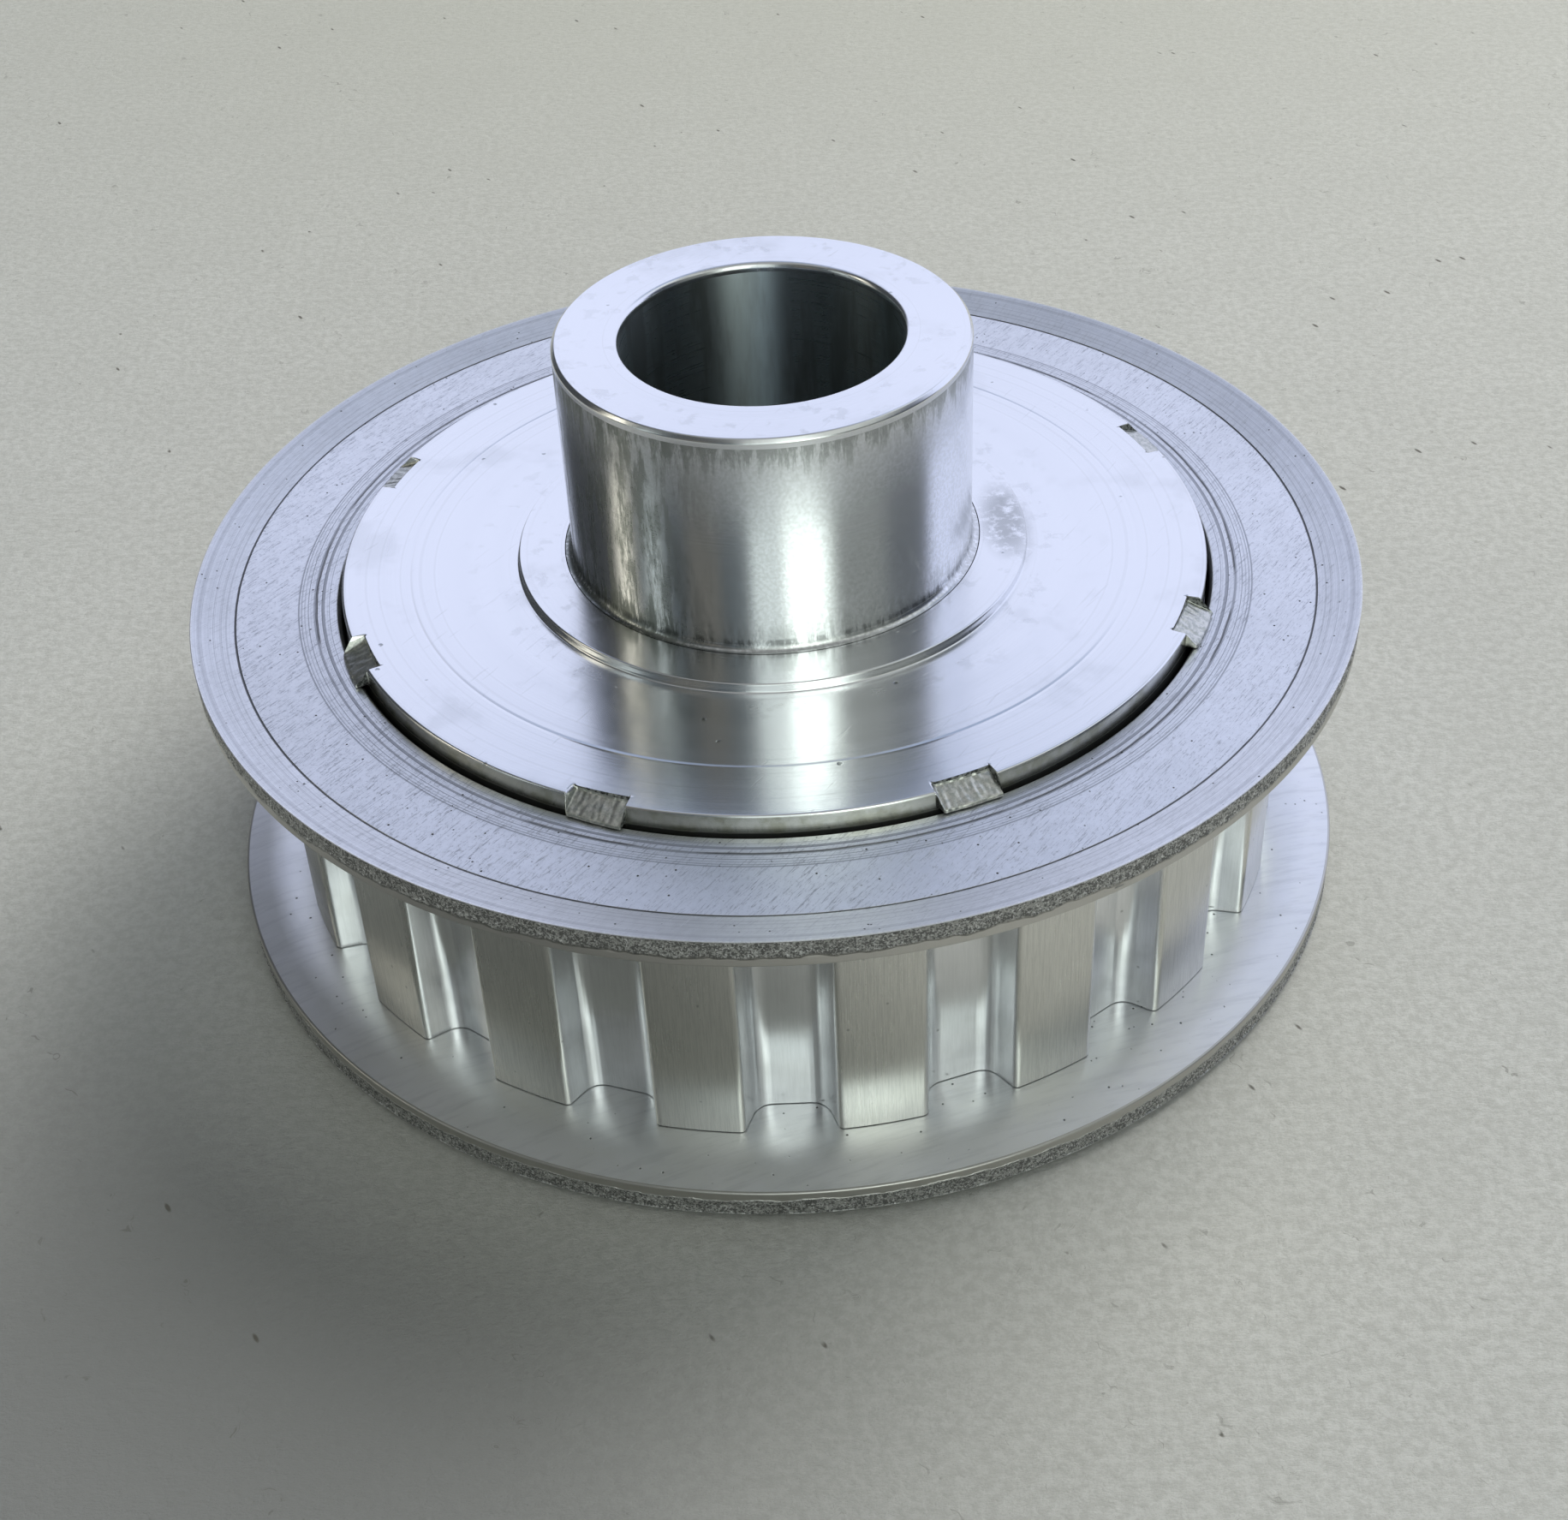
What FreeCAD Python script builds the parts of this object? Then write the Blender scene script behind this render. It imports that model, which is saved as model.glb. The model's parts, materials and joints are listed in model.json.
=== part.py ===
"""Flanged timing belt pulley: a turned and toothed body with a bored hub, and two staked sheet flanges.

Millimetres, +Z up along the bore. The origin is on the axis, in the plane of the rear face, so the
pulley stands on the ground plane with its hub upwards.
"""
import FreeCAD, Part
import math
import os

# ---- driving dimensions ----------------------------------------------------------------------

# Belt seat: 9.525 mm (3/8 inch) pitch, for a belt 12.7 mm wide.
tooth_count = 19
belt_pitch = 9.525
pitch_line_offset = 0.381
groove_opening = 4.85
groove_depth = 2.0
groove_flank_angle = 20.0
tooth_tip_round = 0.35
groove_root_round = 1.0
first_groove_angle = -91.1
belt_seat_width = 14.5

# Flanges: two equal pressed rings, flat over the teeth and bent away from the belt at the rim.
flange_thickness = 1.5
flange_rim_radius = 32.0
flange_crease_radius = 29.65
flange_flare_angle = 13.0
flange_hole_radius = 23.8
flange_hole_round = 0.4
flange_rim_round = 0.3
flange_crease_round = 0.25

# Spigots: the shoulders at both ends of the toothed rim that carry the flanges.
spigot_radius = 23.75
spigot_edge_round = 0.15
spigot_projection = 1.0
face_ring_radius = 20.0
face_ring_width = 0.3
face_ring_depth = 0.08

# Hub: a thin-walled journal on a low shoulder, open right through.
hub_radius = 11.0
hub_edge_chamfer = 0.4
hub_root_round = 0.4
shoulder_radius = 14.0
shoulder_height = 0.5
shoulder_edge_round = 0.12
bore_radius = 7.5
bore_lip_round = 0.45
overall_length = 32.5

# Stakes: punch marks in the spigot's edge that push metal over the flange.
stake_count = 8
stake_first_angle = 22.5
stake_span_angle = 7.4
stake_pocket_radius = 23.0
stake_lug_radius = 24.4
stake_lug_thickness = 0.2
stake_lug_root_radius = 23.4

# ---- worked out from the above ---------------------------------------------------------------

pitch_radius = tooth_count * belt_pitch / (2 * math.pi)
tip_radius = pitch_radius - pitch_line_offset
root_radius = tip_radius - groove_depth

rear_face = 0.0
rear_seat = spigot_projection + flange_thickness
front_seat = rear_seat + belt_seat_width
front_face = front_seat + flange_thickness + spigot_projection
shoulder_top = front_face + shoulder_height
belt_seat_middle = (rear_seat + front_seat) / 2
flange_outer_plane = front_seat + flange_thickness

AXIS_POINT = FreeCAD.Vector(0, 0, 0)
AXIS = FreeCAD.Vector(0, 0, 1)


# ---- outlines --------------------------------------------------------------------------------

def unit(vector):
    """The same direction, one millimetre long."""
    return vector * (1 / vector.Length)


def rounded_outline(corners):
    """A closed wire through (point, rounding radius) corners, with an arc at each rounded one."""
    edges = []
    ends = []
    for index, (corner, radius) in enumerate(corners):
        back = unit(corners[index - 1][0] - corner)
        ahead = unit(corners[(index + 1) % len(corners)][0] - corner)
        if radius == 0:
            ends.append((corner, corner))
            continue
        half_angle = back.getAngle(ahead) / 2
        reach = radius / math.tan(half_angle)
        centre = corner + unit(back + ahead) * (radius / math.sin(half_angle))
        crown = centre + unit(corner - centre) * radius
        start = corner + back * reach
        finish = corner + ahead * reach
        edges.append(Part.Arc(start, crown, finish).toShape())
        ends.append((start, finish))
    for index, (start, finish) in enumerate(ends):
        edges.append(Part.makeLine(finish, ends[(index + 1) % len(ends)][0]))
    return Part.Wire(Part.__sortEdges__(edges))


def turned(profile, start_angle=0.0, sweep=360.0):
    """A solid turned about the bore axis from (radius, height, rounding) corners."""
    corners = [(FreeCAD.Vector(radius, 0, height), rounding) for radius, height, rounding in profile]
    face = Part.Face(rounded_outline(corners))
    face.rotate(AXIS_POINT, AXIS, start_angle)
    return face.revolve(AXIS_POINT, AXIS, sweep)


def on_axis_angle(point, degrees):
    """A point of the first groove, turned about the bore axis."""
    return FreeCAD.Rotation(AXIS, degrees).multVec(point)


def groove_side():
    """One side of a groove that opens along +X, from the tooth tip to the groove's middle.

    The flank is straight. Its tip rounding touches both the flank and the tooth's outer cylinder.
    """
    flank = math.radians(groove_flank_angle)
    mouth = FreeCAD.Vector(tip_radius, groove_opening / 2, 0)
    down_flank = FreeCAD.Vector(-math.cos(flank), -math.sin(flank), 0)
    into_tooth = FreeCAD.Vector(-math.sin(flank), math.cos(flank), 0)

    offset_start = mouth + into_tooth * tooth_tip_round
    centre_radius = tip_radius - tooth_tip_round
    along = offset_start.dot(down_flank)
    travel = -along - math.sqrt(along ** 2 - offset_start.Length ** 2 + centre_radius ** 2)
    centre = offset_start + down_flank * travel

    tip_start = unit(centre) * tip_radius
    tip_end = centre - into_tooth * tooth_tip_round
    tip_crown = centre + unit(tip_start + tip_end - centre * 2) * tooth_tip_round

    floor_travel = (mouth.x - root_radius) / math.cos(flank)
    floor_corner = mouth + down_flank * floor_travel
    half_angle = (math.pi / 2 + flank) / 2
    reach = groove_root_round / math.tan(half_angle)
    root_start = floor_corner - down_flank * reach
    root_end = floor_corner - FreeCAD.Vector(0, reach, 0)
    root_centre = root_end + FreeCAD.Vector(groove_root_round, 0, 0)
    root_crown = root_centre + unit(floor_corner - root_centre) * groove_root_round
    return [tip_start, tip_crown, tip_end, root_start, root_crown, root_end]


def tooth_outline():
    """The closed outline of all the teeth, seen along the bore."""
    left = groove_side()
    right = [FreeCAD.Vector(point.x, -point.y, 0) for point in left]
    pitch_angle = 360.0 / tooth_count
    land_crown = on_axis_angle(FreeCAD.Vector(tip_radius, 0, 0), pitch_angle / 2)
    edges = []
    for groove in range(tooth_count):
        turn = first_groove_angle + groove * pitch_angle
        low = [on_axis_angle(point, turn) for point in right]
        high = [on_axis_angle(point, turn) for point in left]
        next_land = on_axis_angle(right[0], turn + pitch_angle)
        edges += [
            Part.Arc(low[0], low[1], low[2]).toShape(),
            Part.makeLine(low[2], low[3]),
            Part.Arc(low[3], low[4], low[5]).toShape(),
            Part.makeLine(low[5], high[5]),
            Part.Arc(high[5], high[4], high[3]).toShape(),
            Part.makeLine(high[3], high[2]),
            Part.Arc(high[2], high[1], high[0]).toShape(),
            Part.Arc(high[0], on_axis_angle(land_crown, turn), next_land).toShape(),
        ]
    return Part.Wire(edges)


# ---- pieces ----------------------------------------------------------------------------------

def mirrored_to_rear(shape):
    """The same feature at the rear end of the belt seat."""
    return shape.mirror(FreeCAD.Vector(0, 0, belt_seat_middle), AXIS)


def toothed_rim():
    """The toothed ring between the two flange seats, open inside the spigots."""
    inside = Part.Wire(Part.makeCircle(face_ring_radius, AXIS_POINT, AXIS))
    ring = Part.Face(tooth_outline()).cut(Part.Face(inside))
    ring.translate(FreeCAD.Vector(0, 0, rear_seat))
    return ring.extrude(FreeCAD.Vector(0, 0, belt_seat_width))


def turned_core():
    """Web, spigots, shoulder and hub in one turning, with the bore through it."""
    chamfer_bottom = overall_length - hub_edge_chamfer
    ring_inside = face_ring_radius - face_ring_width / 2
    ring_outside = face_ring_radius + face_ring_width / 2
    ring_floor = front_face - face_ring_depth
    return turned([
        (bore_radius, rear_face, bore_lip_round),
        (spigot_radius, rear_face, spigot_edge_round),
        (spigot_radius, front_face, spigot_edge_round),
        (ring_outside, front_face, 0),
        (face_ring_radius, ring_floor, 0),
        (ring_inside, front_face, 0),
        (shoulder_radius, front_face, 0),
        (shoulder_radius, shoulder_top, shoulder_edge_round),
        (hub_radius, shoulder_top, hub_root_round),
        (hub_radius, chamfer_bottom, 0),
        (hub_radius - hub_edge_chamfer, overall_length, 0),
        (bore_radius, overall_length, bore_lip_round),
    ])


def stake_lug(angle):
    """The metal that one stake pushes outwards over the flange."""
    lug_top = flange_outer_plane + stake_lug_thickness
    return turned([
        (stake_lug_root_radius, flange_outer_plane, 0),
        (stake_lug_radius, flange_outer_plane, 0),
        (stake_lug_radius, lug_top, 0),
        (stake_lug_root_radius, front_face, 0),
    ], angle - stake_span_angle / 2, stake_span_angle)


def stake_pocket(angle):
    """The sloping notch that one stake leaves in the spigot's edge, as the space to cut away."""
    lug_top = flange_outer_plane + stake_lug_thickness
    clear_height = front_face + spigot_projection
    return turned([
        (stake_pocket_radius, front_face, 0),
        (stake_lug_radius, lug_top, 0),
        (stake_lug_radius, clear_height, 0),
        (stake_pocket_radius, clear_height, 0),
    ], angle - stake_span_angle / 2, stake_span_angle)


def pulley_body():
    """Teeth, web, spigots and hub, with eight stakes at each end."""
    body = turned_core().fuse(toothed_rim())
    angles = [stake_first_angle + number * 360.0 / stake_count for number in range(stake_count)]
    lugs = [stake_lug(angle) for angle in angles]
    pockets = [stake_pocket(angle) for angle in angles]
    body = body.fuse(lugs + [mirrored_to_rear(lug) for lug in lugs])
    body = body.cut(pockets + [mirrored_to_rear(pocket) for pocket in pockets])
    return body.removeSplitter()


def hub_side_flange():
    """The pressed ring on the hub side: flat over the teeth, its rim bent towards the hub."""
    rise = (flange_rim_radius - flange_crease_radius) * math.tan(math.radians(flange_flare_angle))
    edge_step = flange_thickness * math.tan(math.radians(flange_flare_angle) / 2)
    bend_radius = flange_crease_round + flange_thickness
    return turned([
        (flange_hole_radius, front_seat, 0),
        (flange_crease_radius + edge_step, front_seat, bend_radius),
        (flange_rim_radius, front_seat + rise - edge_step * math.tan(math.radians(flange_flare_angle)),
         flange_rim_round),
        (flange_rim_radius, flange_outer_plane + rise, flange_rim_round),
        (flange_crease_radius, flange_outer_plane, flange_crease_round),
        (flange_hole_radius, flange_outer_plane, flange_hole_round),
    ])


def rear_flange():
    """The same ring turned over, on the rear side."""
    return mirrored_to_rear(hub_side_flange())


def write_parts():
    """One STEP file for each physical piece."""
    os.makedirs("parts", exist_ok=True)
    pieces = {
        "pulley_body": pulley_body(),
        "hub_side_flange": hub_side_flange(),
        "rear_flange": rear_flange(),
    }
    for name, shape in pieces.items():
        shape.exportStep("parts/" + name + ".step")


write_parts()
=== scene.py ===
"""A flanged timing belt pulley standing on a pale sheet of card: its looks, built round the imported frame.

Everything is in metres in the part's own frame: +Z runs up the bore, and the rear face stands at zero.
"""

import json
import math
import random

import bpy
import numpy as np
from mathutils import Matrix, Vector, noise


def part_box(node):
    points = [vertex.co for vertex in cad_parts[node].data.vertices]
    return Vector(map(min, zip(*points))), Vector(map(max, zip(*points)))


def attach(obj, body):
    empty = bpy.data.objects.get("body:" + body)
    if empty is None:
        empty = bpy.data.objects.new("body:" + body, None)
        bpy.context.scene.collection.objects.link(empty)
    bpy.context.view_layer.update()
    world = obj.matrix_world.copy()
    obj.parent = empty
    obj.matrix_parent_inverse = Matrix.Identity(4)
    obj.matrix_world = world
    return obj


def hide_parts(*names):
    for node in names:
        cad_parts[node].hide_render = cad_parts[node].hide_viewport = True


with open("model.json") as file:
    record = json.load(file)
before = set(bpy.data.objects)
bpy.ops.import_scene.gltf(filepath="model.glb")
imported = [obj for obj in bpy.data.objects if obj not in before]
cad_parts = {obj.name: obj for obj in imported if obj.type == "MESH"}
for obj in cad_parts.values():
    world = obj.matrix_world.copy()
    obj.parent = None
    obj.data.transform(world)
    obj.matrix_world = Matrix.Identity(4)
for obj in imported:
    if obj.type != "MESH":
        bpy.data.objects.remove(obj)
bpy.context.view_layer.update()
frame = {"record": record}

MM = 0.001
MOUNTS = {mount["name"]: mount for mount in frame["record"]["mounts"]}

# ---- sizes of the pulley ---------------------------------------------------------------------

# The frame says where the main surfaces are.
BORE_RADIUS = MOUNTS["bore"]["dims"]["r_mm"] * MM
JOURNAL_RADIUS = MOUNTS["hub_journal"]["dims"]["r_mm"] * MM
SHOULDER_TOP = MOUNTS["bearing_shoulder"]["pos_m"][2]
HUB_END = MOUNTS["hub_end"]["pos_m"][2]
TIP_RADIUS = MOUNTS["belt_seat"]["dims"]["r_mm"] * MM
TOOTH_COUNT = MOUNTS["belt_seat"]["dims"]["count"]
SEAT_WIDTH = MOUNTS["belt_seat"]["dims"]["length_mm"] * MM
SEAT_MIDDLE = MOUNTS["belt_seat"]["pos_m"][2]
REAR_SEAT = SEAT_MIDDLE - SEAT_WIDTH / 2
FRONT_SEAT = SEAT_MIDDLE + SEAT_WIDTH / 2
FACE = 2 * SEAT_MIDDLE
RIM_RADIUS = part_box("hub_side_flange")[1][0]

# The smaller shapes between them.
SHEET = 1.5 * MM
FLANGE_FACE = FRONT_SEAT + SHEET
SPIGOT_RADIUS = 23.75 * MM
SPIGOT_ROUND = 0.15 * MM
SHOULDER_RADIUS = 14.0 * MM
SHOULDER_ROUND = 0.12 * MM
JOURNAL_ROOT = 0.4 * MM
JOURNAL_CHAMFER = 0.2 * MM
BORE_LIP = 0.3 * MM
TOOL_STEP_RADIUS = 20.0 * MM
TOOL_STEP_DEPTH = 0.02 * MM
TOOL_STEP_HALF_WIDTH = 0.13 * MM

GROOVE_OPENING = 4.85 * MM
GROOVE_DEPTH = 2.0 * MM
GROOVE_FLANK = math.radians(20.0)
TIP_ROUND = 0.35 * MM
ROOT_ROUND = 1.0 * MM
FIRST_GROOVE = math.radians(-91.1)

FLANGE_HOLE = 23.8 * MM
FLANGE_CREASE = 29.65 * MM
FLANGE_FLARE = math.radians(13.0)

STAKE_COUNT = 8
FIRST_STAKE = math.radians(22.5)
STAKE_WIDTH = 2.95 * MM
STAKE_INNER = 23.0 * MM
STAKE_OUTER = 24.4 * MM
EDGE_START = 22.6 * MM


# ---- shader maths ----------------------------------------------------------------------------

class Field:
    """A number that varies over a surface, and can be worked with like a plain number."""

    def __init__(self, tree, socket):
        self.tree = tree
        self.socket = socket

    def maths(self, operation, *values):
        return self.tree.node("Math", {"operation": operation}, dict(enumerate(values)))

    def __add__(self, other):
        return self.maths("ADD", self, other)

    def __radd__(self, other):
        return self.maths("ADD", other, self)

    def __sub__(self, other):
        return self.maths("SUBTRACT", self, other)

    def __rsub__(self, other):
        return self.maths("SUBTRACT", other, self)

    def __mul__(self, other):
        return self.maths("MULTIPLY", self, other)

    def __rmul__(self, other):
        return self.maths("MULTIPLY", other, self)

    def __truediv__(self, other):
        return self.maths("DIVIDE", self, other)

    def __rtruediv__(self, other):
        return self.maths("DIVIDE", other, self)

    def __pow__(self, other):
        return self.maths("POWER", self, other)

    def __abs__(self):
        return self.maths("ABSOLUTE", self)

    def at_most(self, other):
        return self.maths("MINIMUM", self, other)

    def at_least(self, other):
        return self.maths("MAXIMUM", self, other)

    def rises(self, low, high):
        """0 below low and 1 above high, with a soft rise between them."""
        values = {"Value": self, "From Min": low, "From Max": high, "To Min": 0.0, "To Max": 1.0}
        return self.tree.node("MapRange", {"interpolation_type": "SMOOTHSTEP"}, values)

    def between(self, low, high, soft):
        """1 from low to high, fading to 0 over the soft width outside them."""
        return self.rises(low - soft, low) * (1 - self.rises(high, high + soft))


class ShaderTree:
    """The nodes of one material, or of the studio's surroundings."""

    def __init__(self, owner):
        owner.use_nodes = True
        self.tree = owner.node_tree
        self.tree.nodes.clear()

    @staticmethod
    def pick(sockets, key):
        if isinstance(key, int):
            return sockets[key]
        return next(s for s in sockets if key in (s.identifier, s.name))

    def node(self, kind, settings=None, inputs=None, output=0):
        """A node of that kind, with its settings made first, then its sockets; returns one output."""
        made = self.tree.nodes.new("ShaderNode" + kind)
        for name, value in (settings or {}).items():
            setattr(made, name, value)
        for key, value in (inputs or {}).items():
            socket = self.pick(made.inputs, key)
            if isinstance(value, Field):
                self.tree.links.new(value.socket, socket)
            else:
                socket.default_value = value
        return Field(self, self.pick(made.outputs, output)) if made.outputs else None

    def mix(self, factor, first, second):
        """The first colour where factor is 0, and the second where it is 1."""
        colours = {"Factor_Float": factor, "A_Color": first, "B_Color": second}
        return self.node("Mix", {"data_type": "RGBA"}, colours, "Result_Color")

    def parts(self, vector):
        """The X, Y and Z of a vector, as three fields."""
        split = self.node("SeparateXYZ", None, {0: vector})
        sockets = split.socket.node.outputs
        return [Field(self, sockets[axis]) for axis in range(3)]

    def point(self, x, y, z):
        return self.node("CombineXYZ", None, {0: x, 1: y, 2: z})

    def grain(self, place, scale, detail=2.0, roughness=0.5):
        """Soft random values from about 0.3 to 0.7 over the place given."""
        values = {"Vector": place, "Scale": scale, "Detail": detail, "Roughness": roughness}
        return self.node("TexNoise", {"noise_dimensions": "3D"}, values)

    def lines(self, across, scale, detail=2.0, roughness=0.5):
        """Random parallel lines, packed along one direction."""
        values = {"W": across, "Scale": scale, "Detail": detail, "Roughness": roughness}
        return self.node("TexNoise", {"noise_dimensions": "1D"}, values)

    def specks(self, place, scale, size):
        """1 in the middle of small round specks scattered one to a cell."""
        values = {"Vector": place, "Scale": scale, "Randomness": 1.0}
        return 1 - self.node("TexVoronoi", {"feature": "F1"}, values).rises(size * 0.5, size)


class Finish(ShaderTree):
    """One material, with its places in millimetres: x, y, z, the radius and the way round the bore."""

    def __init__(self, name):
        self.material = bpy.data.materials.new(name)
        super().__init__(self.material)
        coordinates = self.node("TexCoord", None, None, "Object")
        scaled = {0: coordinates, "Scale": 1 / MM}
        self.place = self.node("VectorMath", {"operation": "SCALE"}, scaled)
        self.x, self.y, self.z = self.parts(self.place)
        self.radius = (self.x * self.x + self.y * self.y) ** 0.5
        self.turn = self.y.maths("ARCTAN2", self.y, self.x)

    def one_way(self, x_share, y_share):
        """How far across and how far along straight marks that all run one way over the faces."""
        return self.x * x_share - self.y * y_share, self.x * y_share + self.y * x_share

    def relief(self, height_mm):
        """The surface normal of a fine relief, whose height is in millimetres."""
        return self.node("Bump", None, {"Strength": 1.0, "Distance": MM, "Height": height_mm}, "Normal")

    def metal(self, colour, roughness, height_mm, **steady):
        """Finishes the material. Values in steady are the same all over the surface."""
        values = {"Base Color": colour, "Roughness": roughness, "Normal": self.relief(height_mm)}
        for name, value in steady.items():
            values[name.replace("_", " ").title()] = value
        surface = self.node("BsdfPrincipled", None, values)
        self.node("OutputMaterial", None, {"Surface": surface})
        return self.material


# ---- finishes --------------------------------------------------------------------------------

ALUMINIUM = (0.86, 0.87, 0.885, 1)
HANDLED_ALUMINIUM = (0.60, 0.61, 0.60, 1)
WORN_ALUMINIUM = (0.74, 0.735, 0.69, 1)
# A dark stain, and also the painted shade on the bore's sides and in the stakes' pockets.
OILY_STAIN_AND_SHADE = (0.30, 0.31, 0.30, 1)
GREEN_STAIN = (0.20, 0.22, 0.195, 1)
BORE_ALUMINIUM = (0.82, 0.92, 0.95, 1)
SPIGOT_ALUMINIUM = (0.50, 0.50, 0.43, 1)
STRUCK_SHADE = (0.50, 0.52, 0.48, 1)
# Near black for pits and residue, and for painted shade in gaps, recesses and joints.
DARK_PIT_AND_SHADE = (0.04, 0.042, 0.04, 1)
ZINC = (0.77, 0.78, 0.80, 1)
ZINC_WORN = (0.88, 0.89, 0.92, 1)
ZINC_DULL = (0.36, 0.37, 0.40, 1)
SHEARED_STEEL = (0.50, 0.50, 0.485, 1)
BURNISHED_STEEL = (0.56, 0.55, 0.52, 1)
# Near white for the painted glints and the painted highlight on the rim's edge.
PAINTED_GLINT = (0.92, 0.92, 0.92, 1)
RUBBED_ZINC = (0.87, 0.88, 0.88, 1)

# Turns the blur of a reflection: out from the bore on the faces, and lengthwise on the walls.
CROSSWISE = 0.25

# The same surfaces in millimetres, as the finishes count.
SMUDGE_BESIDE_HUB = 12.9
BOLD_RING = 25.30
RING_BAND_END = 26.1
TOOTH_TIP = TIP_RADIUS / MM
HALF_SEAT = SEAT_WIDTH / MM / 2
MIDDLE = SEAT_MIDDLE / MM
OUTER_FACE = FLANGE_FACE / MM
HOLE_EDGE = FLANGE_HOLE / MM
CREASE = FLANGE_CREASE / MM
HUB_TOP = HUB_END / MM
HUB_FOOT = SHOULDER_TOP / MM


def turned_face():
    """Flat turned aluminium: fine rings from the tool, a few deeper ones, and grey handling smudges."""
    f = Finish("turned_face")
    fine = f.lines(f.radius, 8.0, 3.0, 0.6)
    bands = f.lines(f.radius, 0.9, 2.0, 0.5)
    deep = f.lines(f.radius + 40, 2.7, 1.0, 0.5).rises(0.68, 0.74)
    cloud = f.grain(f.place, 0.16, 4.0, 0.6)
    smudge = cloud.rises(0.55, 0.70)
    handled = f.grain(f.place, 0.75, 5.0, 0.65).rises(0.56, 0.64) * (1 - f.radius.rises(15, 18))
    beside = ((f.x - SMUDGE_BESIDE_HUB) * (f.x - SMUDGE_BESIDE_HUB) + f.y * f.y * 0.15) ** 0.5
    rubbed = (1 - beside.rises(0.5, 1.9)) * f.grain(f.place, 0.8, 5.0, 0.7).rises(0.36, 0.52)
    dots = f.specks(f.place, 0.55, 0.09) * f.grain(f.place, 0.9).rises(0.52, 0.6)
    across, along = f.one_way(0.81, 0.59)
    hair = f.grain(f.point(across * 6.0, along * 0.35, f.z), 1.0, 2.0, 0.6).rises(0.66, 0.74)
    colour = f.mix(smudge * 0.2, ALUMINIUM, HANDLED_ALUMINIUM)
    colour = f.mix(handled * 0.18, colour, HANDLED_ALUMINIUM)
    colour = f.mix(deep * 0.06 + hair * 0.10, colour, OILY_STAIN_AND_SHADE)
    colour = f.mix(rubbed * 0.6, colour, OILY_STAIN_AND_SHADE)
    colour = f.mix(dots * 0.8, colour, OILY_STAIN_AND_SHADE)
    roughness = 0.15 + fine * 0.07 + bands * 0.05 + smudge * 0.05 + handled * 0.05 + rubbed * 0.1
    height = fine * 0.0018 - deep * 0.0006 - dots * 0.01 - hair * 0.001
    return f.metal(colour, roughness, height, metallic=1.0, anisotropic=0.6, anisotropic_rotation=CROSSWISE)


def journal():
    """The hub's wall: finely turned, so reflections draw out along it, with streaks left by handling."""
    f = Finish("journal")
    fine = f.lines(f.z, 11.0, 3.0, 0.6)
    satin = f.grain(f.place, 5.0, 3.0, 0.6)
    streaks = f.grain(f.point(f.x * 1.0, f.y * 1.0, f.z * 0.14), 1.4, 5.0, 0.7)
    runs = f.grain(f.point(f.x * 2.4, f.y * 2.4, f.z * 0.5), 1.0, 5.0, 0.75)
    # The wall is darker towards its left side, where its stains and the marks at its foot also gather.
    left_side = (0 - f.x).rises(1.5, 7.0)
    stain = (streaks + runs * 0.5).rises(0.68, 0.84) * left_side
    below_edge = f.z.rises(HUB_TOP - 3.2, HUB_TOP - 0.3)
    drips = (runs + streaks * 0.6 + below_edge * 0.26).rises(0.90, 1.06) * below_edge
    above_foot = f.z.between(HUB_FOOT + 0.35, HUB_FOOT + 0.5, 0.2)
    low_wall = 1 - f.z.rises(HUB_FOOT + 0.4, HUB_FOOT + 3.0)
    foot = (runs * 1.3 + low_wall * 0.25).rises(0.72, 0.95) * low_wall * left_side.at_least(0.45)
    colour = f.mix(satin.rises(0.4, 0.6) * 0.35, ALUMINIUM, HANDLED_ALUMINIUM)
    colour = f.mix(left_side * 0.3, colour, OILY_STAIN_AND_SHADE)
    colour = f.mix(stain * 0.65, colour, GREEN_STAIN)
    colour = f.mix(drips * 0.6, colour, GREEN_STAIN)
    colour = f.mix(foot * 0.7, colour, GREEN_STAIN)
    colour = f.mix(above_foot * runs.rises(0.46, 0.60) * 0.5, colour, DARK_PIT_AND_SHADE)
    roughness = 0.13 + fine * 0.04 + satin * 0.07 + stain * 0.10 + drips * 0.08 + foot * 0.1
    return f.metal(colour, roughness, fine * 0.0012 + satin * 0.001, metallic=1.0, anisotropic=0.7,
                   anisotropic_rotation=CROSSWISE)


def bore_wall():
    """The reamed bore: fine rings that draw reflections out lengthwise, over a dark oily film, with painted
    shade on its sides that leaves a bright upright streak.
    """
    f = Finish("bore_wall")
    rings = f.lines(f.z, 6.0, 2.0, 0.6)
    film = f.grain(f.point(f.x * 0.8, f.y * 0.8, f.z * 0.12), 1.0, 4.0, 0.6)
    # Painted shade: the wall darkens away from a narrow upright band at x = -0.7 mm, which is left as a
    # painted bright streak.
    sides = abs(f.x + 0.7).rises(0.6, 2.6)
    colour = f.mix(film.rises(0.42, 0.64) * 0.3 + sides * 0.5, BORE_ALUMINIUM, OILY_STAIN_AND_SHADE)
    roughness = 0.30 + rings * 0.06 + film * 0.05 - sides * 0.07
    return f.metal(colour, roughness, rings * 0.002, metallic=1.0, anisotropic=0.85,
                   anisotropic_rotation=CROSSWISE)


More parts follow.
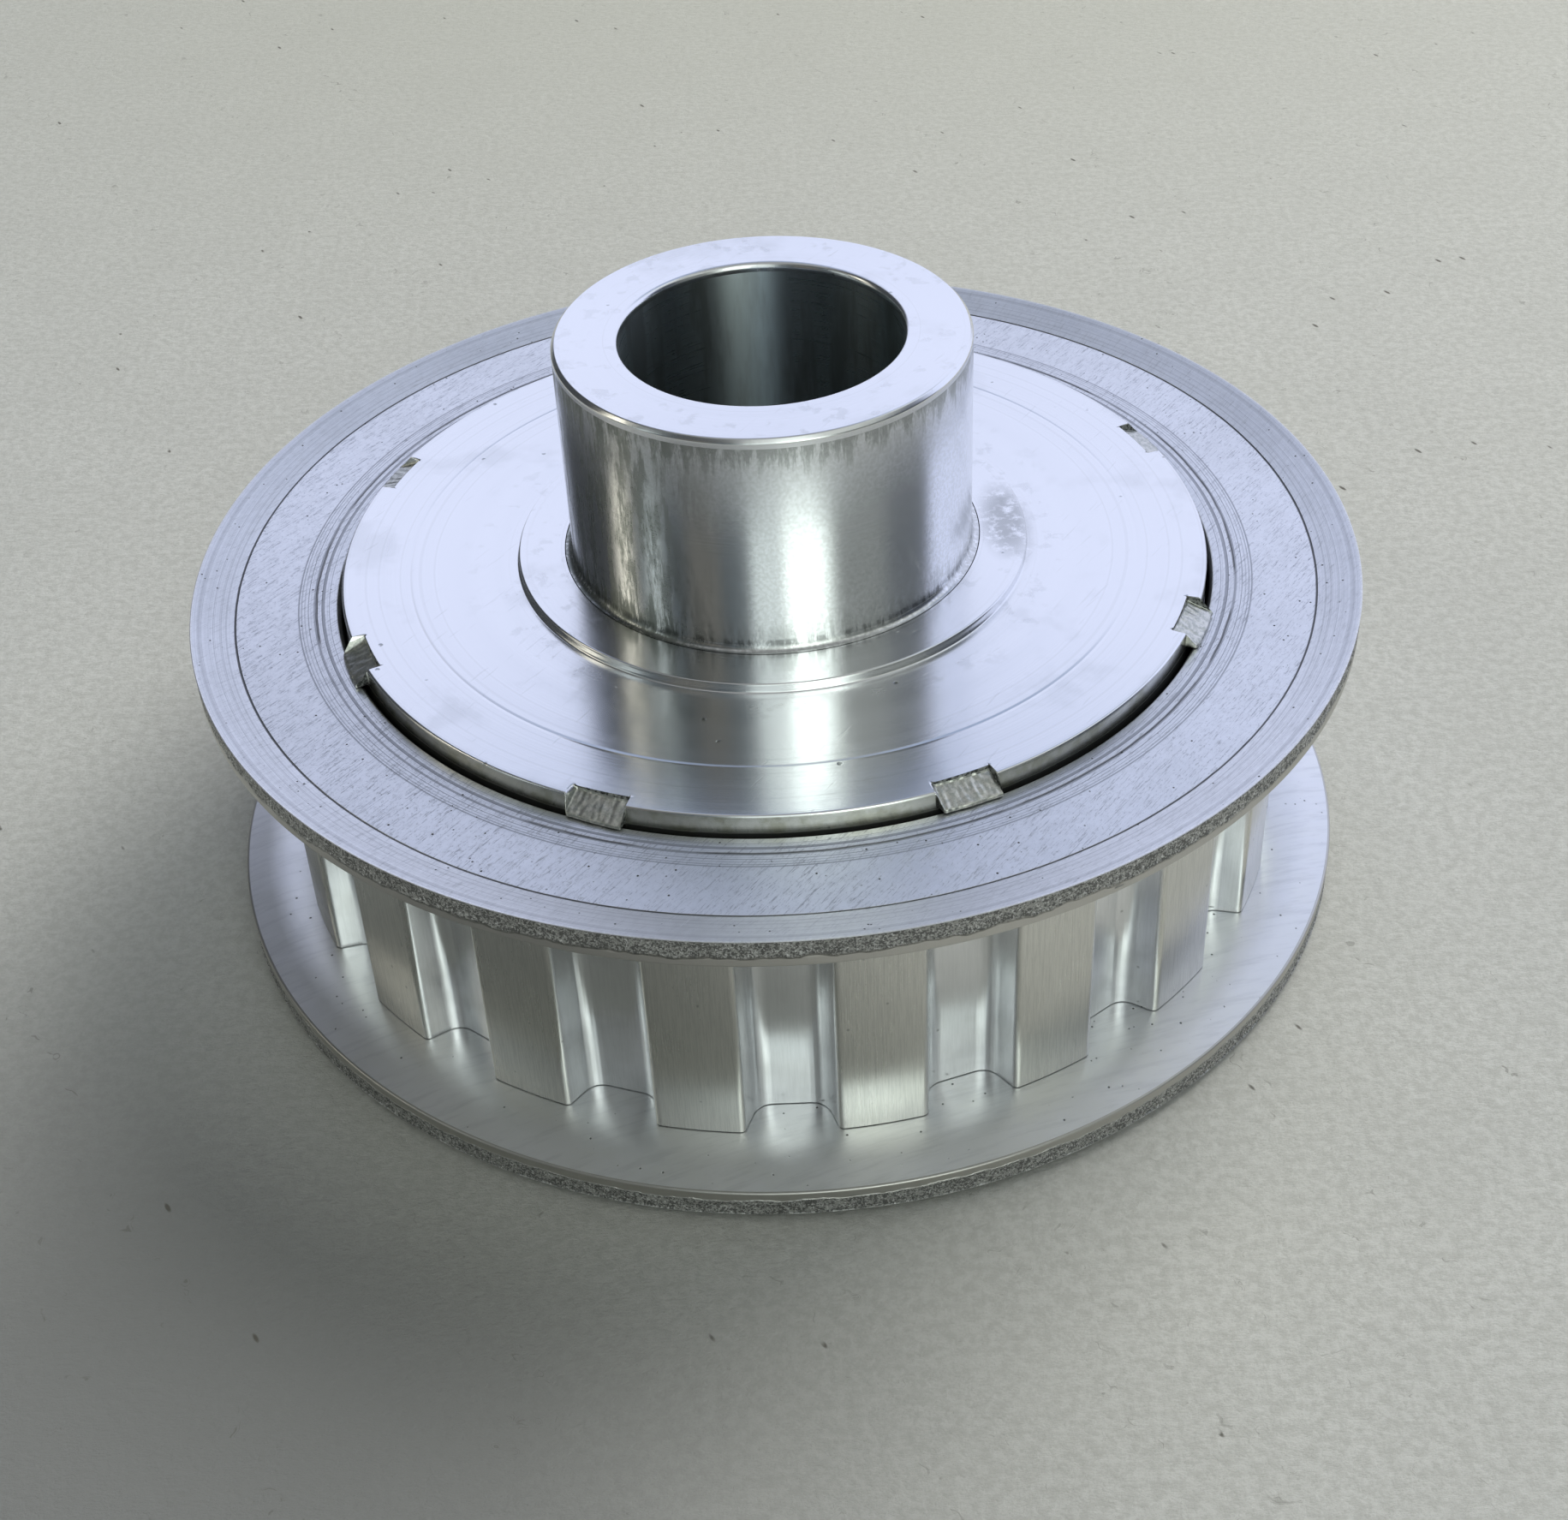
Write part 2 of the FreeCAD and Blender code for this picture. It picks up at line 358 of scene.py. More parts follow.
def tooth_flanks():
    """Cut teeth: fine lines along the cutter's path, dulled on the lands where the belt has run."""
    f = Finish("tooth_flanks")
    cut = f.lines(f.turn * TOOTH_TIP, 6.0, 4.0, 0.75)
    brush = f.grain(f.point(f.x * 13, f.y * 13, f.z * 0.45), 1.0, 5.0, 0.8)
    patch = f.grain(f.place, 0.3, 3.0, 0.55).rises(0.42, 0.66)
    land = f.radius.rises(TOOTH_TIP - 0.22, TOOTH_TIP - 0.06)
    dots = f.specks(f.place, 0.9, 0.10) * f.grain(f.place, 0.8).rises(0.54, 0.6)
    colour = f.mix(patch * 0.3, ALUMINIUM, HANDLED_ALUMINIUM)
    colour = f.mix(land * 0.9, colour, WORN_ALUMINIUM)
    colour = f.mix(brush.rises(0.42, 0.62) * (0.12 + land * 0.12), colour, OILY_STAIN_AND_SHADE)
    # Painted shade along the line where the teeth meet the flanges.
    seam_shade = abs(f.z - MIDDLE).rises(HALF_SEAT - 0.07, HALF_SEAT - 0.03)
    colour = f.mix(seam_shade * 0.7, colour, DARK_PIT_AND_SHADE)
    colour = f.mix(dots * 0.6, colour, OILY_STAIN_AND_SHADE)
    roughness = 0.15 + cut * 0.06 + patch * 0.04 + land * 0.07 + brush * 0.06
    height = cut * 0.0015 + brush * (0.0008 + land * 0.0018)
    return f.metal(colour, roughness, height, metallic=1.0, anisotropic=0.6)


def struck_metal():
    """Upset aluminium in the stakes: grained and duller than the turned face."""
    f = Finish("struck_metal")
    grain = f.grain(f.place, 4.5, 4.0, 0.65)
    colour = f.mix(grain.rises(0.38, 0.62), WORN_ALUMINIUM, STRUCK_SHADE)
    return f.metal(colour, 0.28 + grain * 0.14, grain * 0.012, metallic=1.0)


def grime_and_shade():
    """Dark residue in the torn edge of a stake, and painted shade on the steep inner wall of its pocket."""
    f = Finish("grime_and_shade")
    grain = f.grain(f.place, 6.0, 3.0, 0.6)
    colour = f.mix(grain.rises(0.4, 0.6), DARK_PIT_AND_SHADE, OILY_STAIN_AND_SHADE)
    return f.metal(colour, 0.5, grain * 0.02, metallic=0.6)


def spigot_wall():
    """The turned step that the flange sits against, with painted shade down in the gap."""
    f = Finish("spigot_wall")
    rings = f.lines(f.z, 8.0, 2.0, 0.6)
    cloud = f.grain(f.place, 0.8, 3.0, 0.6)
    height = abs(f.z - MIDDLE) + MIDDLE
    # Painted shade down in the gap between the spigot and the flange's hole.
    gap = 1 - (height + cloud * 0.12).rises(OUTER_FACE - 0.06, OUTER_FACE + 0.10)
    colour = f.mix(0.5 + cloud.rises(0.4, 0.65) * 0.5, ALUMINIUM, SPIGOT_ALUMINIUM)
    colour = f.mix(gap * 0.95, colour, DARK_PIT_AND_SHADE)
    roughness = 0.2 + rings * 0.1 + gap * 0.3
    return f.metal(colour, roughness, rings * 0.003, metallic=1.0, anisotropic=0.5,
                   anisotropic_rotation=CROSSWISE)


def flange_sheet():
    """Dull zinc-plated sheet: a band of tool rings inside, cross scratches, pits and a scored crease."""
    f = Finish("flange_sheet")
    rings = f.lines(f.radius, 3.6, 4.0, 0.75)
    ring_band = f.radius.between(HOLE_EDGE + 0.7, RING_BAND_END, 0.35)
    rim_band = f.radius.rises(CREASE, CREASE + 0.2)
    fine_rings = f.lines(f.radius + 60, 11.0, 3.0, 0.7).rises(0.52, 0.62)
    score = (rings.rises(0.51, 0.60) + fine_rings * 0.4) * (ring_band + rim_band * 0.4)
    waver = f.grain(f.place, 0.5, 2.0, 0.5) * 0.12
    bold_ring = (f.radius + waver).between(BOLD_RING, BOLD_RING + 0.06, 0.05)
    bold_ring = bold_ring * f.grain(f.place, 0.13).rises(0.4, 0.5)
    crease = (f.radius + waver * 0.3).between(CREASE, CREASE + 0.05, 0.05)
    # Painted shade where the sheet rolls down into the gap at its hole.
    gap = 1 - f.radius.rises(HOLE_EDGE + 0.12, HOLE_EDGE + 0.22)
    across, along = f.one_way(0.78, 0.62)
    scratch = f.grain(f.point(across * 14.0, along * 1.0, f.z), 1.0, 3.0, 0.8).rises(0.53, 0.66)
    scuff = f.grain(f.point(across * 4.4, along * 2.4, f.z), 1.8, 4.0, 0.8).rises(0.57, 0.67)
    patch = f.grain(f.place, 0.14, 4.0, 0.6)
    mottle = f.grain(f.place, 2.2, 3.0, 0.6)
    pits = f.specks(f.place, 1.7, 0.12) * f.grain(f.place, 1.1).rises(0.50, 0.56)
    colour = f.mix(patch.rises(0.35, 0.65) * 0.6 + mottle.rises(0.4, 0.6) * 0.3, ZINC, ZINC_WORN)
    colour = f.mix((score * 0.75).at_most(1), colour, ZINC_DULL)
    colour = f.mix((scratch * 0.6 + scuff * 0.5) * (1 - rim_band * 0.6), colour, ZINC_DULL)
    colour = f.mix((pits + crease * 0.9 + bold_ring * 0.7 + gap).at_most(1), colour, DARK_PIT_AND_SHADE)
    roughness = 0.29 + patch * 0.08 + mottle * 0.06 + score * 0.12 + scratch * 0.08 + rim_band * 0.10
    height = rings * (0.001 + ring_band * 0.009 + rim_band * 0.003) + mottle * 0.004
    height = height - scratch * 0.003 - scuff * 0.003 - pits * 0.02 - bold_ring * 0.02 - crease * 0.03
    return f.metal(colour, roughness, height, metallic=1.0, anisotropic=0.2,
                   anisotropic_rotation=CROSSWISE)


def belt_side_sheet():
    """The side of a flange that guides the belt: the same plating, rubbed to a cloudy satin."""
    f = Finish("belt_side_sheet")
    cloud = f.grain(f.place, 0.30, 5.0, 0.65)
    drawn = f.lines(f.radius, 3.0, 3.0, 0.6)
    across, along = f.one_way(0.3, 0.95)
    wipe = f.grain(f.point(across * 2.6, along * 0.28, f.z), 1.0, 4.0, 0.65)
    mottle = f.grain(f.place, 2.6, 3.0, 0.6)
    pits = f.specks(f.place, 1.6, 0.13) * f.grain(f.place, 0.9).rises(0.50, 0.56)
    inner = 1 - f.radius.rises(25.5, 29.5)
    colour = f.mix((cloud.rises(0.36, 0.62) * 0.6 + inner * 0.3).at_most(1), RUBBED_ZINC, ZINC_WORN)
    colour = f.mix(wipe.rises(0.46, 0.70) * 0.16, colour, ZINC_DULL)
    colour = f.mix(pits * 0.85, colour, DARK_PIT_AND_SHADE)
    roughness = 0.27 + cloud * 0.14 + wipe * 0.07 + drawn * 0.04
    height = mottle * 0.004 + wipe * 0.003 - pits * 0.02
    return f.metal(colour, roughness, height, metallic=1.0)


def sheared_rim():
    """The flange's cut edge: torn and pitted on the outer side, burnished on the belt side."""
    f = Finish("sheared_rim")
    depth = abs(f.z - MIDDLE) - HALF_SEAT
    waver = f.grain(f.place, 0.6, 3.0, 0.6) * 0.7
    torn = (depth + waver).rises(1.30, 1.46)
    grit = f.grain(f.place, 9.0, 3.0, 0.7)
    coarse = f.grain(f.place, 3.4, 3.0, 0.7)
    holes = (grit * 0.65 + coarse * 0.35).rises(0.485, 0.525)
    # Painted highlights: glints speckled over the torn zone.
    glints = f.grain(f.place, 7.0, 2.0, 0.7).rises(0.54, 0.60) * (1 - holes)
    drag = f.lines(f.turn * (RIM_RADIUS / MM), 5.0, 2.0, 0.6)
    # Painted highlight: a bright, smoother line along the top edge.
    edge_glint = depth.rises(1.97, 2.02)
    colour = f.mix(torn, BURNISHED_STEEL, SHEARED_STEEL)
    colour = f.mix(torn * holes * 0.66, colour, DARK_PIT_AND_SHADE)
    colour = f.mix((torn * glints * 0.6 + edge_glint * 0.8).at_most(1), colour, PAINTED_GLINT)
    roughness = 0.28 + drag * 0.12 + torn * 0.20 - edge_glint * 0.15
    height = torn * (grit + coarse) * (1 - edge_glint) * 0.10 + drag * 0.005
    return f.metal(colour, roughness, height, metallic=1.0)


# ---- shapes ----------------------------------------------------------------------------------

ARC_STEPS = 6
HOLD = 0.05 * MM
SHARP_ABOVE = math.radians(32)
BODY_COLUMNS = 720
FLANGE_COLUMNS = 1440
TWIN_ANGLE = math.radians(0.012)


def rounded(corners):
    """Points along (radius, height, rounding) corners, with an arc at each rounded inner corner.

    Each straight run also has a point close to its ends, so that the shading of flat faces stays flat.
    """
    points = []
    for index, (radius, height, rounding) in enumerate(corners):
        here = Vector((radius, height))
        if index in (0, len(corners) - 1):
            points.append(here)
            continue
        back = (Vector(corners[index - 1][:2]) - here).normalized()
        ahead = (Vector(corners[index + 1][:2]) - here).normalized()
        if rounding == 0:
            points += [here + back * HOLD, here, here + ahead * HOLD]
            continue
        half = math.acos(max(-1.0, min(1.0, back.dot(ahead)))) / 2
        reach = rounding / math.tan(half)
        centre = here + (back + ahead).normalized() * (rounding / math.sin(half))
        start = here + back * reach - centre
        sweep = math.pi - 2 * half
        side = math.copysign(1, back.cross(ahead))
        points.append(centre + start + back * HOLD)
        for step in range(ARC_STEPS + 1):
            angle = side * sweep * step / ARC_STEPS
            spun = Matrix.Rotation(-angle, 2) @ start
            points.append(centre + spun)
        points.append(here + ahead * (reach + HOLD))
    return [(point[0], point[1]) for point in points]


class Turning:
    """A closed piece swept round the bore. Each row is a ring whose radius or height may vary round it."""

    def __init__(self, turns):
        self.turns = turns
        self.rows = []
        self.bands = []

    def run(self, finish, rows):
        """More rows, each followed by a band of that finish, or of one finish for each way round."""
        for radius, height in rows:
            self.rows.append((radius, height))
            self.bands.append(np.broadcast_to(finish, len(self.turns)))

    def piece(self, name, finishes, slot):
        """The mesh object, riding on the body and standing for the CAD node of that name."""
        count = len(self.turns)
        radii = np.array([np.broadcast_to(radius, count) for radius, _ in self.rows])
        heights = np.array([np.broadcast_to(height, count) for _, height in self.rows])
        points = np.stack([radii * np.cos(self.turns), radii * np.sin(self.turns), heights], -1)
        rings = np.arange(len(self.rows))[:, None] * count
        after = (rings + count) % (len(self.rows) * count)
        column = np.arange(count)[None, :]
        beside = (column + 1) % count
        quads = np.stack([rings + column, rings + beside, after + beside, after + column], -1)
        mesh = bpy.data.meshes.new(name)
        mesh.from_pydata(points.reshape(-1, 3).tolist(), [], quads.reshape(-1, 4).tolist())
        names, slots = np.unique(np.concatenate(self.bands), return_inverse=True)
        for finish in names:
            mesh.materials.append(finishes[str(finish)])
        mesh.polygons.foreach_set("material_index", slots.astype(np.int32))
        mesh.polygons.foreach_set("use_smooth", np.ones(len(slots), bool))
        mesh.set_sharp_from_angle(angle=SHARP_ABOVE)
        piece = bpy.data.objects.new(name + "_finished", mesh)
        bpy.context.scene.collection.objects.link(piece)
        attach(piece, "root")
        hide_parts(name)
        return piece


def arc_points(centre, start, finish, steps):
    """Points on the short arc about centre, from start to finish."""
    spoke = start - centre
    sweep = spoke.angle_signed(finish - centre)
    return [centre + Matrix.Rotation(-sweep * step / steps, 2) @ spoke for step in range(steps + 1)]


def half_tooth():
    """(way round, radius) from the middle of a groove to the middle of the next land."""
    down = Vector((-math.cos(GROOVE_FLANK), -math.sin(GROOVE_FLANK)))
    inward = Vector((-math.sin(GROOVE_FLANK), math.cos(GROOVE_FLANK)))
    mouth = Vector((TIP_RADIUS, GROOVE_OPENING / 2))
    offset = mouth + inward * TIP_ROUND
    along = offset.dot(down)
    reach = (TIP_RADIUS - TIP_ROUND) ** 2
    tip_centre = offset + down * (-along - math.sqrt(along ** 2 - offset.length_squared + reach))
    tip_start = tip_centre.normalized() * TIP_RADIUS
    tip_end = tip_centre - inward * TIP_ROUND
    corner = mouth + down * (GROOVE_DEPTH / math.cos(GROOVE_FLANK))
    tangent = ROOT_ROUND / math.tan((math.pi / 2 + GROOVE_FLANK) / 2)
    root_start = corner - down * tangent
    root_end = corner - Vector((0, tangent))
    root_centre = root_end + Vector((ROOT_ROUND, 0))

    floor = [Vector((root_end.x, root_end.y * share)) for share in (0.0, 0.35, 0.7, 0.95)]
    root = arc_points(root_centre, root_end, root_start, 5)
    flank = [root_start.lerp(tip_end, share) for share in (0.06, 0.35, 0.65, 0.94)]
    tip = arc_points(tip_centre, tip_end, tip_start, 6)
    polar = [(math.atan2(p.y, p.x), p.length) for p in floor + root + flank + tip]
    land_start = polar[-1][0]
    land_middle = math.pi / TOOTH_COUNT
    for share in (0.04, 0.3, 0.6, 1.0):
        polar.append((land_start + (land_middle - land_start) * share, TIP_RADIUS))
    return polar


def tooth_outline():
    """The ways round and radii of the whole toothed outline, in order round the bore."""
    half = half_tooth()
    pitch = 2 * math.pi / TOOTH_COUNT
    whole = [(-turn, radius) for turn, radius in reversed(half)][1:-1] + half
    outline = [(FIRST_GROOVE + pitch * groove + turn, radius) for groove in range(TOOTH_COUNT)
               for turn, radius in whole]
    outline = sorted((turn % (2 * math.pi), radius) for turn, radius in outline)
    return np.array(outline).T


def stakes():
    """Where each stake was struck, with the small differences of hand work."""
    dice = random.Random(8)
    struck = []
    for number in range(STAKE_COUNT):
        turn = FIRST_STAKE + number * 2 * math.pi / STAKE_COUNT + math.radians(dice.uniform(-0.7, 0.7))
        struck.append({
            "turn": turn % (2 * math.pi),
            "half": STAKE_WIDTH / 2 * dice.uniform(0.95, 1.05) / SPIGOT_RADIUS,
            "deep": dice.uniform(0.9, 1.08),
            "lean": dice.uniform(-0.10, 0.10) * MM,
        })
    return struck


# A stake's sides, as angles: metal drawn in softly on one side, and sheared off sharply on the other.
SIDE_SOFT = 0.30 * MM / SPIGOT_RADIUS
SIDE_SHARP = 0.10 * MM / SPIGOT_RADIUS
EDGE_ROWS = 44
LUG_LIFT = 0.02 * MM
LUG_THICKNESS = 0.20 * MM
LUG_LIP = 0.07 * MM
POCKET_DEPTH = 0.24 * MM
POCKET_ROUND = 0.05 * MM
# How far down a pocket's inner wall the dark residue and painted shade reach.
GRIME_AND_SHADE_DEPTH = 0.17 * MM
RIPPLE_ACROSS = 0.05 * MM
RIPPLE_HIGH = 0.035 * MM


def stake_columns(struck):
    """Extra ways round that follow each stake's sides closely."""
    columns = []
    for stake in struck:
        left = stake["turn"] - stake["half"]
        right = stake["turn"] + stake["half"]
        columns += list(np.linspace(left - SIDE_SOFT, left, 9))
        columns += list(np.linspace(left, right, 26)[1:-1])
        columns += list(np.linspace(right, right + SIDE_SHARP, 7))
    return [column % (2 * math.pi) for column in columns]


def even_columns(groups):
    """All the ways round in order, without near twins."""
    merged = np.sort(np.concatenate(groups))
    keep = np.diff(merged, append=merged[0] + 2 * math.pi) > TWIN_ANGLE
    return merged[keep]


def soft_step(value):
    value = np.clip(value, 0, 1)
    return value * value * (3 - 2 * value)


def spigot_edge(turns, struck):
    """Rows over the hub-side spigot's edge with the stakes struck in it, each with its finish all round."""
    plain = rounded([(SPIGOT_RADIUS, FLANGE_FACE + 0.06 * MM, 0), (SPIGOT_RADIUS, FACE, SPIGOT_ROUND),
                     (EDGE_START, FACE, 0)])
    hit = rounded([
        (SPIGOT_RADIUS, FLANGE_FACE + LUG_LIFT, 0),
        (STAKE_OUTER, FLANGE_FACE + LUG_LIFT, LUG_LIP),
        (STAKE_OUTER - 0.02 * MM, FLANGE_FACE + LUG_THICKNESS, LUG_LIP),
        (STAKE_INNER + 0.06 * MM, FACE - POCKET_DEPTH, POCKET_ROUND),
        (STAKE_INNER, FACE, 0),
        (EDGE_START, FACE, 0),
    ])
    plain = evenly(plain, EDGE_ROWS)
    hit = evenly(hit, EDGE_ROWS)
    weight = np.zeros(len(turns))
    lean = np.zeros(len(turns))
    under_punch = np.zeros(len(turns), bool)
    past_punch = np.zeros(len(turns), bool)
    for stake in struck:
        away = (turns - stake["turn"] + math.pi) % (2 * math.pi) - math.pi
        left = soft_step((away + stake["half"] + SIDE_SOFT) / SIDE_SOFT)
        right = soft_step((stake["half"] + SIDE_SHARP - away) / SIDE_SHARP)
        inside = left * right
        weight = np.maximum(weight, inside * min(1.0, stake["deep"]))
        lean += inside * stake["lean"] * away / stake["half"]
        under_punch |= np.abs(away) < stake["half"]
        past_punch |= (away >= stake["half"]) & (away < stake["half"] * 2)
    torn_side = (weight > 0.12) & past_punch & ~under_punch
    rows = []
    for (plain_radius, plain_height), (hit_radius, hit_height) in zip(plain, hit):
        depth = min(1.0, (FACE - hit_height) / (0.1 * MM))
        ripple = np.array([noise.noise(Vector((turn * 90, hit_radius / MM * 2.2, 3.0))) for turn in turns])
        ripple = ripple * depth
        leaning = (lean + ripple * RIPPLE_ACROSS) * depth
        radius = plain_radius + (hit_radius + leaning - plain_radius) * weight
        floor = hit_height + ripple * RIPPLE_HIGH
        here = np.full(len(turns), "spigot" if plain_radius > SPIGOT_RADIUS - 0.01 * MM else "face")
        if hit_height < FACE - 0.005 * MM:
            # Dark residue with painted shade: on the shallow top of each pocket's inner wall, and on the
            # torn side just past each stake.
            here = np.where(weight > 0.3, "grime_and_shade" if hit_height > FACE - GRIME_AND_SHADE_DEPTH else "struck", here)
            here = np.where(torn_side, "grime_and_shade", here)
        rows.append(((radius, plain_height + (np.minimum(floor, FACE) - plain_height) * weight), here))
    rows[-1] = ((EDGE_START, FACE), rows[-1][1])
    return rows


def evenly(points, count):
    """The same path with that many points, close together where it bends."""
    path = np.array(points)
    lengths = np.hypot(*np.diff(path, axis=0).T)
    bends = np.zeros(len(path))
    headings = np.unwrap(np.arctan2(*np.diff(path, axis=0).T[::-1]))
    bends[1:-1] = np.abs(np.diff(headings))
    stations = np.concatenate([[0], np.cumsum(lengths / lengths.sum() + (bends[1:] + bends[:-1]) * 0.09)])
    wanted = np.linspace(0, stations[-1], count)
    return list(zip(np.interp(wanted, stations, path[:, 0]), np.interp(wanted, stations, path[:, 1])))


def turned_over(rows):
    """The same rows at the rear end, in the order that follows the profile there."""
    return [(radius, FACE - height) for radius, height in reversed(rows)]


def pulley_body(finishes):
    """Teeth, web, spigots, shoulder, hub and bore as one closed skin."""
    ways, radii = tooth_outline()
    struck = stakes()
    whole_turn = np.linspace(0, 2 * math.pi, BODY_COLUMNS + 1)[:-1]
    turns = even_columns([ways, stake_columns(struck), whole_turn])
    outline = np.interp(turns, ways, radii, period=2 * math.pi)
    edge = spigot_edge(turns, struck)
    wall = [(SPIGOT_RADIUS, FRONT_SEAT), (SPIGOT_RADIUS, FLANGE_FACE - 0.2 * MM)]

    body = Turning(turns)
    body.run("face", rounded([(BORE_RADIUS, BORE_LIP * 1.2, 0), (BORE_RADIUS, 0, BORE_LIP),
                              (EDGE_START, 0, 0)])[:-1])
    for row, finish in reversed(edge):
        body.run(finish, turned_over([row]))
    body.run("spigot", turned_over(wall))
    gap = 0.1 * MM
    body.run("teeth", [(outline - gap, REAR_SEAT), (outline, REAR_SEAT + gap / 2)])
    for share in (0.02, 0.25, 0.5, 0.75, 0.98):
        body.run("teeth", [(outline, REAR_SEAT + SEAT_WIDTH * share)])
    body.run("teeth", [(outline, FRONT_SEAT - gap / 2), (outline - gap, FRONT_SEAT)])
    body.run("spigot", wall)
    for row, finish in edge:
        body.run(finish, [row])
    body.run("face", rounded([
        (EDGE_START, FACE, 0),
        (TOOL_STEP_RADIUS + TOOL_STEP_HALF_WIDTH, FACE, 0),
        (TOOL_STEP_RADIUS, FACE - TOOL_STEP_DEPTH, 0.02 * MM),
        (TOOL_STEP_RADIUS - TOOL_STEP_HALF_WIDTH, FACE, 0),
        (SHOULDER_RADIUS, FACE, 0.14 * MM),
        (SHOULDER_RADIUS, SHOULDER_TOP, SHOULDER_ROUND),
        (JOURNAL_RADIUS + JOURNAL_ROOT, SHOULDER_TOP, 0),
    ])[1:])
    chamfer = HUB_END - JOURNAL_CHAMFER
    body.run("journal", rounded([
        (JOURNAL_RADIUS + JOURNAL_ROOT * 1.5, SHOULDER_TOP, 0),
        (JOURNAL_RADIUS, SHOULDER_TOP, JOURNAL_ROOT),
        (JOURNAL_RADIUS, chamfer - 0.35 * MM, 0),
    ])[1:-1])
    body.run("face", rounded([
        (JOURNAL_RADIUS, chamfer - 0.3 * MM, 0),
        (JOURNAL_RADIUS, chamfer, 0.14 * MM),
        (JOURNAL_RADIUS - JOURNAL_CHAMFER, HUB_END, 0.14 * MM),
        (BORE_RADIUS, HUB_END, BORE_LIP),
        (BORE_RADIUS, HUB_END - BORE_LIP * 1.3, 0),
    ])[:-1])
    bore = np.linspace(HUB_END - BORE_LIP * 1.6, BORE_LIP * 1.6, 12)
    body.run("bore", [(BORE_RADIUS, height) for height in bore])
    return body.piece("pulley_body", finishes, "turned_aluminium")


TEAR_START = 0.2
TEAR_SOFT = 0.12
TEAR_DEPTH = 0.045 * MM
NICK_DEPTH = 0.25 * MM
WALL_ROWS = 14


def torn_wall(turns, low, high, seed):
    """Rows up the cut rim of a flange: smooth beside the belt, then torn and nicked."""
    rows = []
    for height in np.linspace(low, high, WALL_ROWS):
        torn = max(0.0, min(1.0, ((height - low) / (high - low) - TEAR_START) / TEAR_SOFT))
        bite = np.array([noise.noise(Vector((turn * 75, height / MM * 2.5, seed))) for turn in turns])
        coarse = np.array([noise.noise(Vector((turn * 21, height / MM, seed + 5))) for turn in turns])
        nick = np.maximum(0, coarse - 0.38) * NICK_DEPTH
        rows.append((RIM_RADIUS - torn * (1 + bite) * TEAR_DEPTH - nick, height))
    return rows


def flange_rows(turns, seed):
    """Rows of the hub-side flange: belt side, cut rim, and the outer side in to the rolled hole edge."""
    slope = math.tan(FLANGE_FLARE)
    bend = SHEET * math.tan(FLANGE_FLARE / 2)
    belt_crease = FLANGE_CREASE + bend
    belt_edge = FRONT_SEAT + (RIM_RADIUS - belt_crease) * slope
    top_edge = FLANGE_FACE + (RIM_RADIUS - FLANGE_CREASE) * slope
    belt_in = 0.14 * MM
    top_in = 0.12 * MM
    belt_side = rounded([
        (FLANGE_HOLE, FRONT_SEAT + 0.5 * MM, 0),
        (FLANGE_HOLE, FRONT_SEAT, 0.08 * MM),
        (belt_crease, FRONT_SEAT, 8.0 * MM),
        (RIM_RADIUS - belt_in, belt_edge - belt_in * slope, 0),
    ])
    belt_corner = rounded([
        (RIM_RADIUS - belt_in, belt_edge - belt_in * slope, 0),
        (RIM_RADIUS, belt_edge, 0.10 * MM),
        (RIM_RADIUS, belt_edge + 0.25 * MM, 0),
    ])[1:]
    wall = torn_wall(turns, belt_edge + 0.3 * MM, top_edge - 0.07 * MM, seed)
    top_corner = rounded([
        (RIM_RADIUS, top_edge - 0.06 * MM, 0),
        (RIM_RADIUS, top_edge, 0.04 * MM),
        (RIM_RADIUS - top_in, top_edge - top_in * slope, 0),
    ])[2:-1]
    outer_side = rounded([
        (RIM_RADIUS - top_in, top_edge - top_in * slope, 0),
        (FLANGE_CREASE, FLANGE_FACE, 0.2 * MM),
        (FLANGE_HOLE + 0.9 * MM, FLANGE_FACE, 2.0 * MM),
        (FLANGE_HOLE + 0.34 * MM, FLANGE_FACE - 0.04 * MM, 0.12 * MM),
        (FLANGE_HOLE + 0.10 * MM, FLANGE_FACE - 0.5 * MM, 0.1 * MM),
        (FLANGE_HOLE, FLANGE_FACE - 0.95 * MM, 0),
    ])
    return belt_side, belt_corner + wall + top_corner, outer_side


def flange(name, finishes, seed, rear):
    """One pressed flange ring, on the hub side or turned over at the rear."""
    turns = np.linspace(0, 2 * math.pi, FLANGE_COLUMNS + 1)[:-1]
    belt_side, rim, outer_side = flange_rows(turns, seed)
    ring = Turning(turns)
    if rear:
        ring.run("sheet", turned_over(outer_side))
        ring.run("rim", turned_over(rim))
        ring.run("belt_side", turned_over(belt_side))
    else:
        ring.run("belt_side", belt_side)
        ring.run("rim", rim)
        ring.run("sheet", outer_side)
    return ring.piece(name, finishes, "flange_sheet")


# ---- studio ----------------------------------------------------------------------------------

CARD_HALF = 4.0
CARD_DROP = 0.02 * MM
# Where the painted shadow on the card is centred, and how far it reaches, in millimetres.
SHADED_AT = (-29, -42)
SHADED_REACH = 38
CARD_PALE = (0.63, 0.625, 0.59, 1)
CARD_SHADE = (0.50, 0.495, 0.46, 1)
# The colour of the painted shadow.
CARD_PAINTED_SHADOW = (0.25, 0.25, 0.24, 1)
CARD_FAR = (0.50, 0.495, 0.42, 1)
CARD_FLECK = (0.12, 0.11, 0.09, 1)


